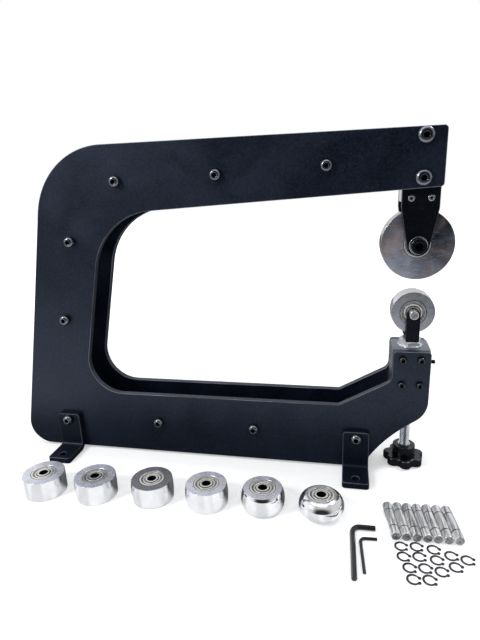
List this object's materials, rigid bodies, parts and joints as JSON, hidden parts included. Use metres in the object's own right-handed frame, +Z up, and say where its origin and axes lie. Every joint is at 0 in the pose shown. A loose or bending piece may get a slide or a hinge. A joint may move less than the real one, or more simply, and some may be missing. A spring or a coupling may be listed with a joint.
{
  "type": "english wheel",
  "caption": "Bench english wheel: two-plate C frame, upper wheel in a fork, anvil wheel on a screw-driven ram, bench brackets, with spare anvils, pins, circlips and hex keys.",
  "frame": {"origin": "middle of the four bench bolt holes, on the bench top under the brackets' feet", "axes": "+X along the frame from its heel to the wheels, +Y from the front plate to the rear plate, +Z up"},
  "size_m": [0.5713, 0.2875, 0.407],
  "materials": {
    "black_coat": "fine-textured satin black powder coat",
    "black_oxide": "black oxide",
    "machined_steel": "turned or milled, satin",
    "plated_steel": "bright zinc plate",
    "polished_steel": "polished",
    "bearing_steel": "ground rings with pressed shields",
    "bronze": "machined bronze",
    "black_plastic": "moulded, slightly glossy"
  },
  "bodies": {
    "frame": {"side_plate_front": "black_coat", "side_plate_rear": "black_coat", "frame_spacers": "black_oxide", "frame_bolts": "black_oxide", "bracket_front_left": "black_coat", "bracket_front_right": "black_coat", "bracket_rear_left": "black_coat", "bracket_rear_right": "black_coat", "bracket_bolts": "black_oxide", "fork_plate_front": "black_coat", "fork_plate_rear": "black_coat", "fork_block": "machined_steel", "fork_screws": "plated_steel", "head_bolts": "black_oxide", "head_nuts": "plated_steel", "upper_axle": "black_oxide", "upper_axle_nut": "plated_steel", "upper_axle_washers": "plated_steel", "upper_axle_spacers": "machined_steel", "upper_inner_rings": "bearing_steel", "guide_block": "machined_steel", "block_screws": "black_oxide", "guide_bush": "plated_steel", "guide_screw": "black_oxide", "lead_nut": "bronze"},
    "upper_wheel": {"upper_wheel": "machined_steel", "upper_outer_rings": "bearing_steel", "upper_balls": "bearing_steel"},
    "ram": {"ram_post": "plated_steel", "yoke": "black_coat", "yoke_screw": "machined_steel", "thrust_washer": "bronze", "anvil_pin": "polished_steel", "anvil_circlips": "black_oxide", "anvil_inner_rings": "bearing_steel"},
    "anvil": {"anvil": "polished_steel", "anvil_outer_rings": "bearing_steel", "anvil_balls": "bearing_steel"},
    "screw": {"lead_screw": "plated_steel", "star_knob": "black_plastic", "knob_insert": "plated_steel"},
    "spare_anvil_1": {"spare_anvil_1": "polished_steel", "spare_bearings_1": "bearing_steel"},
    "spare_anvil_2": {"spare_anvil_2": "polished_steel", "spare_bearings_2": "bearing_steel"},
    "spare_anvil_3": {"spare_anvil_3": "polished_steel", "spare_bearings_3": "bearing_steel"},
    "spare_anvil_4": {"spare_anvil_4": "polished_steel", "spare_bearings_4": "bearing_steel"},
    "spare_anvil_5": {"spare_anvil_5": "polished_steel", "spare_bearings_5": "bearing_steel"},
    "spare_anvil_6": {"spare_anvil_6": "polished_steel", "spare_bearings_6": "bearing_steel"},
    "spare_pins": {"spare_pins": "polished_steel"},
    "spare_circlips": {"spare_circlips": "black_oxide"},
    "hex_key_large": {"hex_key_large": "black_oxide"},
    "hex_key_small": {"hex_key_small": "black_oxide"}
  },
  "joints": [
    {"name": "upper_wheel_spin", "type": "hinge", "parent": "frame", "child": "upper_wheel", "pos_m": [0.2575, 0, 0.283], "axis": [0, 1, 0], "continuous": true},
    {"name": "ram_lift", "type": "slide", "parent": "frame", "child": "ram", "axis": [0, 0, 1], "range_m": [0, 0.014]},
    {"name": "screw_turn", "type": "hinge", "parent": "ram", "child": "screw", "pos_m": [0.2575, 0, 0.06], "axis": [0, 0, 1], "range_deg": [0, 2881]},
    {"name": "anvil_spin", "type": "hinge", "parent": "ram", "child": "anvil", "pos_m": [0.2575, 0, 0.2033], "axis": [0, 1, 0], "continuous": true},
    {"name": "spare_anvil_1_lift", "type": "slide", "parent": "frame", "child": "spare_anvil_1", "axis": [0, 0, 1], "range_m": [0, 0.08]},
    {"name": "spare_anvil_2_lift", "type": "slide", "parent": "frame", "child": "spare_anvil_2", "axis": [0, 0, 1], "range_m": [0, 0.08]},
    {"name": "spare_anvil_3_lift", "type": "slide", "parent": "frame", "child": "spare_anvil_3", "axis": [0, 0, 1], "range_m": [0, 0.08]},
    {"name": "spare_anvil_4_lift", "type": "slide", "parent": "frame", "child": "spare_anvil_4", "axis": [0, 0, 1], "range_m": [0, 0.08]},
    {"name": "spare_anvil_5_lift", "type": "slide", "parent": "frame", "child": "spare_anvil_5", "axis": [0, 0, 1], "range_m": [0, 0.08]},
    {"name": "spare_anvil_6_lift", "type": "slide", "parent": "frame", "child": "spare_anvil_6", "axis": [0, 0, 1], "range_m": [0, 0.08]},
    {"name": "spare_pins_lift", "type": "slide", "parent": "frame", "child": "spare_pins", "axis": [0, 0, 1], "range_m": [0, 0.08]},
    {"name": "spare_circlips_lift", "type": "slide", "parent": "frame", "child": "spare_circlips", "axis": [0, 0, 1], "range_m": [0, 0.08]},
    {"name": "hex_key_large_lift", "type": "slide", "parent": "frame", "child": "hex_key_large", "axis": [0, 0, 1], "range_m": [0, 0.08]},
    {"name": "hex_key_small_lift", "type": "slide", "parent": "frame", "child": "hex_key_small", "axis": [0, 0, 1], "range_m": [0, 0.08]}
  ],
  "couplings": [
    {"joint": "screw_turn", "follows": "ram_lift", "rad_per_m": 3590.4}
  ]
}
